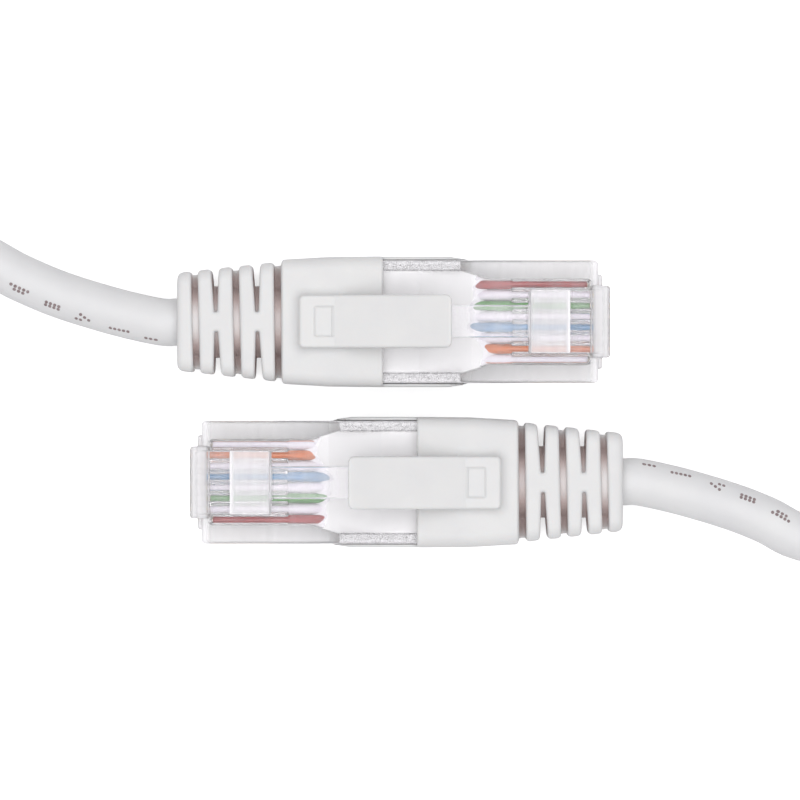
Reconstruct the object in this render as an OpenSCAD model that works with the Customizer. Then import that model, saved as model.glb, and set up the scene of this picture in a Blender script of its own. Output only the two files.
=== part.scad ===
// Ethernet patch cable: two booted eight-position plugs joined by one short round cable.
// The two ends are the same. Each is drawn in its own frame and placed twice, half a turn apart:
// x = 0 is the nose of the plug, +x points out of the nose, y = 0 is the middle and z = 0 is the
// surface that the cable lies on. Millimetres.

/* [Plug] */
// Width of the plug
plug_w = 11.68; // [11.58:0.01:11.78]
// Length of the plug, nose to back
plug_l = 21.5; // [21.2:0.1:22.0]
// Height of the plug without its latch
plug_h = 6.6; // [6.5:0.05:6.7]
// Distance between two neighbouring wires
wire_pitch = 1.02; // [1.01:0.01:1.03]
// Radius of an insulated wire
wire_r = 0.4; // [0.36:0.01:0.4]
// Thickness of a contact blade
blade_t = 0.3; // [0.25:0.01:0.34]

/* [Latch] */
// Slope of the latch when it is free, in degrees
latch_slope = 9.5; // [9:0.1:10]
// Width of the latch's tail
tail_w = 3.1; // [2.8:0.1:3.4]
// Thickness of the latch's tail
tail_t = 0.85; // [0.7:0.05:0.9]

/* [Boot] */
// Width of the boot over the plug
boot_w = 12.34; // [12.2:0.02:12.5]
// Height of the boot over the plug
boot_h = 8.3; // [8.2:0.05:8.4]
// Width of the boot where the cable leaves it
boot_back_w = 9.3; // [9.0:0.1:9.6]
// Distance between two neighbouring gaps of the strain relief
gap_pitch = 1.95; // [1.9:0.01:1.98]
// Width of the tongue that guards the latch
tongue_w = 5.0; // [4.6:0.1:5.2]
// Slope of the tongue when it is free, in degrees
tongue_slope = 17.5; // [17.3:0.1:18.5]
// Thickness of the tongue
tongue_t = 1.2; // [1.1:0.05:1.2]

/* [Cable] */
// Diameter of the cable
cable_d = 4.5; // [4.4:0.1:4.6]

/* [Hidden] */
WIRES = ["white_orange", "orange", "white_green", "blue", "white_blue", "green", "white_brown", "brown"];
PARTS = ["plug_housing", "plug_latch", "contacts", "inner_mould", "jacket_end", "boot", "latch_guard"];
ENDS = ["a", "b"];
$fn = 48;

past = 1;                         // how far a cut runs past the face that it opens

// Plug
plug_z = 0.8;                     // underside of the plug, on the boot's floor
plug_top = plug_z + plug_h;
plug_corner = 0.35;
plug_wall = 0.8;                  // floor and roof of the hollow behind the channels
hollow_w = plug_w - 2;
hollow_front = -12.9;             // where the sides of the hollow start to close in, down to the row of wires
throat_x = -10.4;
roof_back = -17;                  // where its floor and roof start to close in, down to the channels' height
roof_front = -12;
channel_back = -8.15;
channel_front = -0.8;
channel_r = 0.53;
channel_z = plug_z + 3.6;
nose_w = 8.9;
nose_l = 0.35;
nose_inset = [0.7, 0.9];          // from the plug's underside and from its top
row_w = 8 * wire_pitch;

// Contacts and their slots
blade_back = -6.8;
blade_front = -0.7;
blade_low = plug_z + 0.55;
blade_mid = plug_z + 3.0;
tine_top = channel_z + 0.3;
slot_w = blade_t + 0.2;
slot_back = -7.3;
slot_top = plug_z + 1.9;

// Bars that press the jacket and the wires, seen from below as two recesses
bar_x = -18.9;
bar_l = 1.4;
bar_w = 5;
bar_top = plug_z + 1.4;
recess_depth = 0.45;
wire_bar_x = -9.2;
wire_bar_l = 1.1;
wire_bar_w = 7.4;

// Latch, bent about its root at the nose
root_x = 0.2;
root_z = plug_top;
root_r = 0.85;
root_w = 6.8;
root_gap = 0.1;
latch_wide_w = 6;
latch_low = 0.05;                 // how far the underside of the latch passes above its root's middle
latch_wide_t = 1.4;
shoulder = 7;                     // distances from the root, along the latch
ramp_top = 3.25;
tail_end = 15.7;

// Boot
boot_back = -39.9;
boot_shoulder = -30;              // where the strain relief meets the body
boot_roof_front = -20.4;
cheek_front = -14.1;
cheek_tip = -12;
boot_corner = 1.3;
shoulder_in = 0.45;               // how far the strain relief is inside the boot's sides at the shoulder
shoulder_step = 0.1;
back_low = 0.35;                  // underside and top of the strain relief where the cable leaves it
back_top = 7.65;
cheek_top = [6.6, 6.3, 5.4];      // top of the cheeks at the roof's front, at cheek_front and at cheek_tip
cable_z = 4;                      // middle of the cable inside the boot, as where its route starts
sleeve_r = 3.4;
first_gap = -38.15;
gap_w = 0.62;
notch_in = 0.3;                   // a side notch is this wide at its root
notch_out = 0.8;                  // and this wide at the side of the boot
bridge_w = 1.86;
side_bar_inset = 0.35;

// Tongue of the boot, bent about its root on the pad
pad_back = -28.3;
pad_front = -24.8;
pad_top = boot_h + 1.3;
tongue_z = pad_top - tongue_t / 2;
tongue_l = 11.3;
tongue_gap = 0.08;
tongue_corner = 0.6;
pad_recess = [1.5, 3, 0.3];        // length, width and depth
pad_recess_x = -26.9;

// Wires between the jacket and the channels
jacket_front = -17.4;
fan_front = -10.4;
fan_pitch = 0.48;                 // between neighbours where they leave the jacket
fan_step = 0.475;                 // and above and below the cable's middle, in turn
mould_front = -11.9;

// Route of the cable, from plug a to plug b: it leaves the boot of plug a, lies down on the surface,
// goes once round behind both plugs, and comes back to the boot of plug b from the other side.
lie_z = cable_d / 2;
ROUTE = [
    [-21.1, 7.6, 4], [-22.6, 7.6, 4], [-25.5, 8.2, 3.5], [-28.5, 9, 3], [-32, 10.1, 2.5], [-35, 11.3, lie_z],
    [-38, 12.8, lie_z], [-43, 16, lie_z], [-46.6, 20, lie_z], [-48.4, 25, lie_z], [-48.4, 30, lie_z],
    [-46.6, 35, lie_z], [-43, 39.2, lie_z], [-38.5, 41.8, lie_z], [-33, 42.7, lie_z], [-24, 42.8, lie_z],
    [-12, 42.6, lie_z], [0, 42.4, lie_z], [12, 42.4, lie_z], [24, 42.6, lie_z], [34, 42.8, lie_z],
    [41, 42.7, lie_z], [47, 41.6, lie_z], [52, 38.6, lie_z], [55.2, 34, lie_z], [56.6, 28.5, lie_z],
    [57, 21, lie_z], [57.3, 13, lie_z], [57.5, 5.5, lie_z], [57.2, -0.5, lie_z], [55.6, -5.8, lie_z],
    [52.2, -10.3, lie_z], [47.6, -13, lie_z], [42.8, -13.7, lie_z], [38, -12.8, lie_z], [35, -11.3, lie_z],
    [32, -10.1, 2.5], [28.5, -9, 3], [25.5, -8.2, 3.5], [22.6, -7.6, 4], [21.1, -7.6, 4]
];
CORD_SIDES = 12;
nose_x = ROUTE[0].x - boot_back;  // each end is placed so that its boot meets the cable
plug_y = ROUTE[0].y;
WIRE_SIDES = 10;
FAN_STEPS = 8;                    // rings along the bend of a wire

// ---------------------------------------------------------------- helpers

function wire_y(i) = (i - 3.5) * wire_pitch;

// Draws a flat shape, given as y across and z up, and extends it along x
module along_x(x0, x1) translate([x0, 0, 0]) rotate([90, 0, 90]) linear_extrude(x1 - x0) children();

// Draws a flat shape, given as x along and z up, and extends it across, centred on y = 0
module across_y(width) translate([0, width / 2, 0]) rotate([90, 0, 0]) linear_extrude(width) children();

module rounded_rect(width, z0, z1, r) {
    translate([-width / 2, z0 + r]) square([width, z1 - z0 - 2 * r]);
    translate([-width / 2 + r, z0]) square([width - 2 * r, z1 - z0]);
    for (side = [-1, 1], z = [z0 + r, z1 - r]) translate([side * (width / 2 - r), z]) circle(r);
}

module rod_x(r, x0, x1, y = 0, z = 0) translate([x0, y, z]) rotate([0, 90, 0]) cylinder(r = r, h = x1 - x0);

module rod_y(r, width, x, z) translate([x, width / 2, z]) rotate([90, 0, 0]) cylinder(r = r, h = width);

module block(x0, x1, width, z0, z1) translate([x0, -width / 2, z0]) cube([x1 - x0, width, z1 - z0]);

// Half-widths given along x, drawn on both sides of y = 0
module mirrored_plan(points, z0, z1) translate([0, 0, z0]) linear_extrude(z1 - z0)
    polygon(concat(points, [for (i = [len(points) - 1 : -1 : 0]) [points[i].x, -points[i].y]]));

// The direction of a path at point i. Every path here starts and ends heading straight along -x.
function heading(path, i) =
    let (way = i == 0 || i == len(path) - 1 ? [-1, 0, 0] : path[i + 1] - path[i - 1]) way / norm(way);

// The ring of corners round a path at point i
function ring(path, i, r, sides) =
    let (
        ahead = heading(path, i),
        aside = [-ahead.y, ahead.x, 0] / norm([ahead.x, ahead.y]),
        above = cross(ahead, aside)
    ) [for (k = [0 : sides - 1]) let (turn = 360 * k / sides)
        path[i] + r * (cos(turn) * aside + sin(turn) * above)];

// A round solid swept along a path
module tube(path, r, sides) {
    last = len(path) - 1;
    polyhedron(
        points = [for (i = [0 : last]) each ring(path, i, r, sides)],
        faces = concat(
            [[for (k = [sides - 1 : -1 : 0]) k]],
            [for (i = [0 : last - 1], k = [0 : sides - 1])
                let (a = i * sides, b = a + sides, next = (k + 1) % sides) [a + k, a + next, b + next, b + k]],
            [[for (k = [0 : sides - 1]) last * sides + k]]
        )
    );
}

// ---------------------------------------------------------------- plug

module plug_outer() along_x(-plug_l, 0) rounded_rect(plug_w, plug_z, plug_top, plug_corner);

// The hollow behind the channels, narrowing towards them
module plug_hollow() intersection() {
    mirrored_plan([[-plug_l - past, hollow_w / 2], [hollow_front, hollow_w / 2],
                   [throat_x, row_w / 2], [channel_back + 0.2, row_w / 2]], 0, plug_top);
    across_y(plug_w) polygon([
        [-plug_l - past, plug_z + plug_wall], [roof_back, plug_z + plug_wall],
        [roof_front, channel_z - channel_r], [channel_back + 0.2, channel_z - channel_r],
        [channel_back + 0.2, channel_z + channel_r], [roof_front, channel_z + channel_r],
        [roof_back, plug_top - plug_wall], [-plug_l - past, plug_top - plug_wall]]);
}

module jacket_bar() block(bar_x - bar_l / 2, bar_x + bar_l / 2, bar_w, plug_z + 0.2, bar_top);

module plug_housing() color([0.86, 0.9, 0.95, 0.45]) difference() {
    union() {
        plug_outer();
        along_x(-past, nose_l) rounded_rect(nose_w, plug_z + nose_inset[0], plug_top - nose_inset[1], 0.2);
    }
    difference() {
        plug_hollow();
        jacket_bar();
    }
    for (i = [0 : 7]) {
        rod_x(channel_r, channel_back, channel_front, wire_y(i), channel_z);
        translate([slot_back, wire_y(i) - slot_w / 2, plug_z - past])
            cube([past - slot_back, slot_w, slot_top - plug_z + past]);
        translate([blade_back, wire_y(i) - blade_t / 2, slot_top - 0.1])
            cube([blade_front - blade_back, blade_t, channel_z - slot_top]);
    }
    rod_y(root_r + root_gap, root_w + 2 * root_gap, root_x, root_z);
    block(bar_x - 0.5, bar_x + 0.5, bar_w - 0.8, plug_z - past, plug_z + recess_depth);
    block(wire_bar_x - wire_bar_l / 2, wire_bar_x + wire_bar_l / 2, wire_bar_w,
          plug_z - past, plug_z + recess_depth);
}

// Drawn along -x from the root, flat, then tilted up to its slope
module plug_latch() color([0.86, 0.9, 0.95, 0.45])
    translate([root_x, 0, root_z]) rotate([0, latch_slope, 0]) {
        rod_y(root_r, root_w, 0, 0);
        across_y(latch_wide_w) polygon([
            [0, latch_low], [0, root_r], [-ramp_top, latch_low + latch_wide_t],
            [-shoulder, latch_low + latch_wide_t], [-shoulder, latch_low]]);
        across_y(tail_w) polygon([
            [-shoulder + 1, latch_low], [-shoulder + 1, latch_low + tail_t],
            [-tail_end, latch_low + tail_t], [-tail_end, latch_low]]);
    }

module contacts() color("gold") for (i = [0 : 7]) translate([0, wire_y(i) + blade_t / 2, 0])
    rotate([90, 0, 0]) linear_extrude(blade_t) polygon([
        [blade_front, blade_low + 0.5], [blade_front, blade_mid], [-2.2, blade_mid], [-2.6, tine_top],
        [-3.0, blade_mid], [-4.4, blade_mid], [-4.8, tine_top], [-5.2, blade_mid],
        [blade_back, blade_mid], [blade_back, blade_low + 0.9], [-5.9, blade_low], [-1.2, blade_low]]);

// ---------------------------------------------------------------- wires

// The middle line of one wire: straight in its channel, then eased down to the front of the jacket
function wire_path(i) =
    let (
        channel = [fan_front, wire_y(i), channel_z],
        mouth = [jacket_front, (i - 3.5) * fan_pitch, cable_z + (i % 2 == 0 ? -fan_step : fan_step)]
    ) concat(
        [[channel_front - 0.2, wire_y(i), channel_z]],
        [for (step = [0 : FAN_STEPS]) let (t = step / FAN_STEPS, eased = (1 - cos(180 * t)) / 2) [
            channel.x + t * (mouth.x - channel.x),
            channel.y + eased * (mouth.y - channel.y),
            channel.z + eased * (mouth.z - channel.z)]]
    );

module wire(i) {
    colours = ["orange", "mediumseagreen", "cornflowerblue", "sienna"];
    pair = [0, 0, 1, 2, 2, 1, 3, 3][i];
    color(colours[pair]) tube(wire_path(i), wire_r, WIRE_SIDES);
}

// ---------------------------------------------------------------- jacket and mould

module jacket_end() color("whitesmoke") difference() {
    rod_x(cable_d / 2, boot_back, jacket_front, 0, cable_z);
    jacket_bar();
}

// Filling of the plug's hollow round the jacket, with a flared mouth that the wires fan out in
module inner_mould() color("white") difference() {
    intersection() {
        plug_hollow();
        block(-plug_l, mould_front, plug_w, 0, plug_top);
    }
    rod_x(cable_d / 2, boot_back, jacket_front, 0, cable_z);
    jacket_bar();
    intersection() {
        mirrored_plan([[jacket_front - 0.01, 2.2], [jacket_front + 1.2, 2.3],
                       [mould_front + past, 4.3]], 0, plug_top);
        across_y(plug_w) polygon([
            [jacket_front - 0.01, cable_z - 0.95], [mould_front + past, channel_z - 0.6],
            [mould_front + past, channel_z + 0.6], [jacket_front - 0.01, cable_z + 0.95]]);
    }
}

// ---------------------------------------------------------------- boot

module boot_outer() intersection() {
    mirrored_plan([[boot_back, boot_back_w / 2], [boot_shoulder, boot_w / 2 - shoulder_in],
                   [boot_shoulder + shoulder_step, boot_w / 2 - 0.3], [-25.5, boot_w / 2 - 0.04],
                   [-21, boot_w / 2], [cheek_front, boot_w / 2], [cheek_tip, plug_w / 2]],
                  -past, boot_h + past);
    across_y(boot_w) polygon([
        [boot_back, back_low], [boot_shoulder, 0.05], [boot_shoulder + shoulder_step, 0], [cheek_tip, 0],
        [cheek_tip, cheek_top[2]], [cheek_front, cheek_top[1]], [boot_roof_front + 1.2, cheek_top[0]],
        [boot_roof_front + 0.15, plug_top], [boot_roof_front, boot_h],
        [boot_shoulder + shoulder_step, boot_h], [boot_shoulder, boot_h - 0.2], [boot_back, back_top]]);
    along_x(boot_back, cheek_tip) rounded_rect(boot_w, 0, boot_h, boot_corner);
}

// Round core of the strain relief, left standing in every gap
module sleeve() rod_x(sleeve_r, boot_back - past, boot_shoulder + past, 0, cable_z);

// A gap open above and below, closed at the sides by two bars
module slot_gap(x) {
    share = (x - boot_back) / (boot_shoulder - boot_back);
    bar_y = (1 - share) * boot_back_w / 2 + share * (boot_w / 2 - shoulder_in) - side_bar_inset;
    difference() {
        block(x - gap_w / 2, x + gap_w / 2, boot_w + past, -past, boot_h + past);
        sleeve();
        block(x - gap_w, x + gap_w, 2 * bar_y, cable_z - bridge_w / 2, cable_z + bridge_w / 2);
    }
}

// A gap open at both sides, closed above and below by two bridges
module notch_gap(x) difference() {
    for (side = [-1, 1]) translate([0, 0, -past]) linear_extrude(boot_h + 2 * past) polygon([
        [x - notch_in / 2, side * bridge_w / 2], [x + notch_in / 2, side * bridge_w / 2],
        [x + notch_out / 2, side * (boot_w / 2 + past)], [x - notch_out / 2, side * (boot_w / 2 + past)]]);
    sleeve();
}

module boot() color([0.93, 0.93, 0.92]) difference() {
    union() {
        boot_outer();
        block(pad_back, pad_front, tongue_w, boot_h - 0.2, pad_top);
    }
    plug_outer();
    rod_x(cable_d / 2, boot_back - past, -plug_l + 0.01, 0, cable_z);
    for (i = [0, 2, 4]) slot_gap(first_gap + i * gap_pitch);
    for (i = [1, 3]) notch_gap(first_gap + i * gap_pitch);
    rod_y(tongue_t / 2 + tongue_gap, boot_w, pad_front, tongue_z);
    block(pad_recess_x, pad_recess_x + pad_recess.x, pad_recess.y, pad_top - pad_recess.z, pad_top + past);
}

// Drawn along +x from its root, flat, then tilted up to its slope
module latch_guard() color([0.9, 0.9, 0.9])
    translate([pad_front, 0, tongue_z]) rotate([0, -tongue_slope, 0]) {
        rod_y(tongue_t / 2, tongue_w, 0, 0);
        translate([0, 0, -tongue_t / 2]) linear_extrude(tongue_t) {
            translate([0, -tongue_w / 2]) square([tongue_l - tongue_corner, tongue_w]);
            translate([0, -tongue_w / 2 + tongue_corner]) square([tongue_l, tongue_w - 2 * tongue_corner]);
            for (side = [-1, 1]) translate([tongue_l - tongue_corner, side * (tongue_w / 2 - tongue_corner)])
                circle(tongue_corner);
        }
    }

// ---------------------------------------------------------------- cable

module cord() color("whitesmoke") tube(ROUTE, cable_d / 2, CORD_SIDES);

// ---------------------------------------------------------------- assembly

// Puts an end in place: end b is end a turned half round
module place(end) rotate([0, 0, end == "a" ? 0 : 180]) translate([nose_x, plug_y, 0]) children();

cord();
for (end = ENDS) place(end) {
    plug_housing();
    plug_latch();
    contacts();
    inner_mould();
    jacket_end();
    boot();
    latch_guard();
    for (i = [0 : 7])
        wire(i);
}
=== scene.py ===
"""The looks of the ethernet patch cable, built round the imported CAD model.

Lengths here are in millimetres until MM turns them into metres. Both ends are the same, so each
piece of an end is made once, in the end's own frame: x = 0 is the plug's nose, +x points out of
it, y = 0 is the middle and z = 0 is the floor. place() then puts a copy at each end.
"""

import math

import bpy
import numpy as np
from mathutils import Matrix, Vector


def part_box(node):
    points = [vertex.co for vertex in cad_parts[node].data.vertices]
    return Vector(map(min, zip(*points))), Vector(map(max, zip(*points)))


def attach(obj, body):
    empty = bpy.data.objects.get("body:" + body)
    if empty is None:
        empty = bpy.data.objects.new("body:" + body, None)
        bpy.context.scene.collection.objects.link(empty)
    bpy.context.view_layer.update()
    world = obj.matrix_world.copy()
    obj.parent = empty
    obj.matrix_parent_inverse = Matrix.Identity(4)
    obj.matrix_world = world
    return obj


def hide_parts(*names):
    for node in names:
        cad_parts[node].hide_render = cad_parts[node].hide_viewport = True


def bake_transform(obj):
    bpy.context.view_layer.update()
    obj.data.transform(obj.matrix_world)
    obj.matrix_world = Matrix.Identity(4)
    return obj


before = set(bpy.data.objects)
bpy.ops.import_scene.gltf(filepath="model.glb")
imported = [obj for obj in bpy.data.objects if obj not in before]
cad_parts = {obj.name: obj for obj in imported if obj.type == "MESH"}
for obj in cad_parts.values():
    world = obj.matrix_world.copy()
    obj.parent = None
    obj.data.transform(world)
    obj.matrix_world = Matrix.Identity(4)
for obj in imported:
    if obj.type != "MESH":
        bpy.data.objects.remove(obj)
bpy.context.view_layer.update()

MM = 0.001

# ---------------------------------------------------------------- camera

VIEW_CENTRE = (0.0, 0.19)     # the point in the middle of the picture
VIEW_HALF = 38.04             # half the picture's width, at the height VIEW_PLANE
VIEW_PLANE = 4.0
CAMERA_AWAY = 620.0


def make_camera():
    data = bpy.data.cameras.new("camera")
    data.sensor_width = 36
    data.lens = data.sensor_width / 2 * CAMERA_AWAY / VIEW_HALF
    data.clip_start, data.clip_end = 0.01, 10
    camera = bpy.data.objects.new("camera", data)
    bpy.context.scene.collection.objects.link(camera)
    camera.location = (VIEW_CENTRE[0] * MM, VIEW_CENTRE[1] * MM, (VIEW_PLANE + CAMERA_AWAY) * MM)
    bpy.context.scene.camera = camera


make_camera()

# ---------------------------------------------------------------- cable route

CABLE_D = 4.5
LIE = CABLE_D / 2
ROUTE = [
    (-21.1, 7.6, 4), (-22.6, 7.6, 4), (-25.5, 8.2, 3.5), (-28.5, 9, 3), (-32, 10.1, 2.5), (-35, 11.3, LIE),
    (-38, 12.8, LIE), (-43, 16, LIE), (-46.6, 20, LIE), (-48.4, 25, LIE), (-48.4, 30, LIE),
    (-46.6, 35, LIE), (-43, 39.2, LIE), (-38.5, 41.8, LIE), (-33, 42.7, LIE), (-24, 42.8, LIE),
    (-12, 42.6, LIE), (0, 42.4, LIE), (12, 42.4, LIE), (24, 42.6, LIE), (34, 42.8, LIE),
    (41, 42.7, LIE), (47, 41.6, LIE), (52, 38.6, LIE), (55.2, 34, LIE), (56.6, 28.5, LIE),
    (57, 21, LIE), (57.3, 13, LIE), (57.5, 5.5, LIE), (57.2, -0.5, LIE), (55.6, -5.8, LIE),
    (52.2, -10.3, LIE), (47.6, -13, LIE), (42.8, -13.7, LIE), (38, -12.8, LIE), (35, -11.3, LIE),
    (32, -10.1, 2.5), (28.5, -9, 3), (25.5, -8.2, 3.5), (22.6, -7.6, 4), (21.1, -7.6, 4),
]
ROUTE_STEPS = 6


def smooth_line(points, steps):
    """A Catmull-Rom curve through the points."""
    p = np.array([points[0], *points, points[-1]], float)
    p[0], p[-1] = 2 * p[1] - p[2], 2 * p[-2] - p[-3]
    t = np.arange(steps)[:, None] / steps
    spans = [
        0.5 * (2 * b + (c - a) * t + (2 * a - 5 * b + 4 * c - d) * t**2 + (3 * b - a - 3 * c + d) * t**3)
        for a, b, c, d in zip(p, p[1:], p[2:], p[3:])
    ]
    return np.concatenate([*spans, p[-2:-1]])


CABLE_LINE = smooth_line(ROUTE, ROUTE_STEPS)
CABLE_LINE[:, 2] = np.maximum(CABLE_LINE[:, 2], LIE)

# ---------------------------------------------------------------- ends

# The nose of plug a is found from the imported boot, whose back is at BOOT_BACK from the nose.
BOOT_BACK = -39.9
boot_low, boot_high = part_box("boot_a")
NOSE_X = boot_low[0] / MM - BOOT_BACK
PLUG_Y = (boot_low[1] + boot_high[1]) / 2 / MM
ENDS = {
    "a": Matrix.Translation((NOSE_X * MM, PLUG_Y * MM, 0)),
    "b": Matrix.Rotation(math.pi, 4, "Z") @ Matrix.Translation((NOSE_X * MM, PLUG_Y * MM, 0)),
}


def world_points(points, end):
    """Points of an end's own frame, in metres in the shared frame."""
    turn = np.array(ENDS[end])
    return np.asarray(points) * MM @ turn[:3, :3].T + turn[:3, 3]


def new_mesh(name, points, faces, normals=None, attributes=None):
    """A smooth-shaded mesh in metres. attributes maps a name to a value or a vector for each point."""
    mesh = bpy.data.meshes.new(name)
    mesh.from_pydata(points, [], faces)
    mesh.shade_smooth()
    for key, values in (attributes or {}).items():
        values = np.asarray(values, np.float32)
        kind, field = ("FLOAT", "value") if values.ndim == 1 else ("FLOAT_VECTOR", "vector")
        mesh.attributes.new(key, kind, "POINT").data.foreach_set(field, values.ravel())
    if normals is not None:
        mesh.normals_split_custom_set_from_vertices(normals)
    return mesh


def new_piece(name, mesh, material):
    piece = bpy.data.objects.new(name, mesh)
    bpy.context.scene.collection.objects.link(piece)
    mesh.materials.append(material)
    return piece


def place(name, end, shape, material, slot):
    """A copy of a shape at one end. shape is (points, faces, normals, attributes) in the end's own frame."""
    points, faces, normals, attributes = shape
    turn = np.array(ENDS[end])[:3, :3]
    if normals is not None:
        normals = normals @ turn.T
    name = f"{name}_{end}_look"
    mesh = new_mesh(name, world_points(points, end), faces, normals, attributes)
    piece = new_piece(name, mesh, material)
    return piece


# ---------------------------------------------------------------- shapes from fields
# A field is below 0 inside a shape and above 0 outside it, near enough the distance to its surface.


def smooth_max(a, b, k):
    """The larger of a and b, rounded off where they are within k of each other."""
    near = np.maximum(k - np.abs(a - b), 0) / k
    return np.maximum(a, b) + near * near * k / 4


def smooth_min(a, b, k):
    return -smooth_max(-a, -b, k)


def along(at, table):
    """The value at each place, straight between the (place, value) pairs of a table."""
    places, values = zip(*table)
    return np.interp(at, places, values)


def round_box(x, y, z, low, high, r):
    """A box with all its edges rounded."""
    gaps = [np.abs(v - (a + b) / 2) - (b - a) / 2 + r for v, a, b in zip((x, y, z), low, high)]
    outside = np.sqrt(sum(np.maximum(g, 0) ** 2 for g in gaps))
    inside = np.minimum(np.maximum(np.maximum(gaps[0], gaps[1]), gaps[2]), 0)
    return outside + inside - r


def centred_box(x, y, z, span_x, half, span_z, r):
    """A rounded box that reaches half to each side of y = 0. A span is (low, high)."""
    return round_box(x, y, z, (span_x[0], -half, span_z[0]), (span_x[1], half, span_z[1]), r)


def round_rect(y, z, half, low, high, r):
    """A rectangle across x with rounded corners, mirrored in y = 0. half, low and high may vary along x."""
    dy = np.abs(y) - half + r
    dz = np.abs(z - (low + high) / 2) - (high - low) / 2 + r
    return np.sqrt(np.maximum(dy, 0) ** 2 + np.maximum(dz, 0) ** 2) + np.minimum(np.maximum(dy, dz), 0) - r


def spaced(low, high, fine, coarse, marks, reach):
    """Grid lines from low to high: fine within reach of the marks, widening to coarse between them."""
    widening = 0.35
    marks = np.array(sorted(marks), float)
    lines = [low - 2 * fine]
    while lines[-1] < high + 2 * fine:
        here = lines[-1] + fine / 2
        past = marks[marks < here]
        ahead = marks[marks >= here]
        away = min(here - past[-1] if len(past) else 99, ahead[0] - here if len(ahead) else 99) - reach
        lines.append(lines[-1] + float(np.clip(fine + widening * away, fine, coarse)))
    return np.array(lines)


def surface_net(field, axes):
    """Points, quads and normals of the surface where field(x, y, z) is 0, on a grid of lines along each axis.

    Each grid cell that the surface passes through gets one point, and each grid edge that it crosses
    gets one quad, between the four cells round that edge.
    """
    f = field(*np.meshgrid(*axes, indexing="ij", sparse=True)).astype(np.float32)
    f = np.broadcast_to(f, [len(a) for a in axes])
    cells = [n - 1 for n in f.shape]
    total = np.zeros([*cells, 3], np.float32)
    count = np.zeros(cells, np.float32)
    edges = []
    for axis in range(3):
        a = np.take(f, range(f.shape[axis] - 1), axis)
        b = np.take(f, range(1, f.shape[axis]), axis)
        hit = np.argwhere((a < 0) != (b < 0))
        va, vb = a[tuple(hit.T)], b[tuple(hit.T)]
        point = hit.astype(np.float32)
        point[:, axis] += va / (va - vb)
        others = [k for k in range(3) if k != axis]
        for du in (0, 1):
            for dv in (0, 1):
                cell = hit.copy()
                cell[:, others[0]] -= du
                cell[:, others[1]] -= dv
                np.add.at(total, tuple(cell.T), point)
                np.add.at(count, tuple(cell.T), 1)
        edges.append((hit, va < 0, others))
    used = count > 0
    index = np.full(cells, -1, np.int64)
    index[used] = np.arange(used.sum())
    grid = total[used] / count[used][:, None]
    points = np.column_stack([np.interp(grid[:, k], np.arange(len(axes[k])), axes[k]) for k in range(3)])
    quads = []
    for axis, (hit, outward, (u, v)) in enumerate(edges):
        ring = []
        for du, dv in ((0, 0), (1, 0), (1, 1), (0, 1)):
            cell = hit.copy()
            cell[:, u] -= du
            cell[:, v] -= dv
            ring.append(index[tuple(cell.T)])
        quad = np.stack(ring, 1)
        flip = outward if axis == 1 else ~outward
        quad[flip] = quad[flip][:, ::-1]
        quads.append(quad)
    points = settled(field, points)
    return points, np.concatenate(quads), slopes(field, points)


SLOPE_REACH = 0.01
SETTLE_MOST = 0.04
SETTLE_TIMES = 3


def slopes(field, points):
    """The unit normals of a field's surface at its points."""
    normals = np.empty_like(points)
    for k in range(3):
        reach = np.zeros(3)
        reach[k] = SLOPE_REACH
        normals[:, k] = field(*(points + reach).T) - field(*(points - reach).T)
    return normals / np.maximum(np.linalg.norm(normals, axis=1), 1e-9)[:, None]


def settled(field, points):
    """The points moved onto the surface, by at most SETTLE_MOST at a time."""
    for _ in range(SETTLE_TIMES):
        off = np.clip(field(*points.T), -SETTLE_MOST, SETTLE_MOST)
        points = points - off[:, None] * slopes(field, points)
    return points


# ---------------------------------------------------------------- sizes of an end, as in the CAD model

PITCH = 1.02
WIRES = ["white_orange", "orange", "white_green", "blue", "white_blue", "green", "white_brown", "brown"]
ROW_HALF = 4 * PITCH
PLUG_LOW, PLUG_TOP = 0.8, 7.4
PLUG_HALF = 5.84
PLUG_BACK = -21.5
CHANNEL_Z = 4.4
CHANNEL_R = 0.53
CHANNEL_BACK, CHANNEL_FRONT = -8.15, -0.5
CHANNEL_TAPER = -0.95         # each channel narrows from here to its front end
HOLLOW_HALF = 4.84
HOLLOW_LOW, HOLLOW_TOP = 1.6, 6.6
HOLLOW_FRONT = -12.9          # where its sides start to close in
THROAT_X = -10.4              # from here to the channels it keeps the width of the row of wires
ROOF_FRONT, ROOF_END = -17.0, -12.0   # where its floor and roof start and stop closing in
CABLE_Z = 4.0
JACKET_FRONT = -17.4
SHOULDER = -30.0              # where the strain relief meets the boot's body
CHEEK_FRONT, CHEEK_TIP = -14.1, -12.0


def wire_y(i):
    return (i - 3.5) * PITCH


def from_wire(y):
    """How far y is to the outer side of the middle of the nearest wire."""
    side = np.abs(y)
    return side - PITCH / 2 - PITCH * np.clip(np.round((side - PITCH / 2) / PITCH), 0, 3)


def from_cable(y, z):
    """How far a point is from the middle line of the cable inside the boot."""
    return np.sqrt(y * y + (z - CABLE_Z) ** 2)


# ---------------------------------------------------------------- boot

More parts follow.
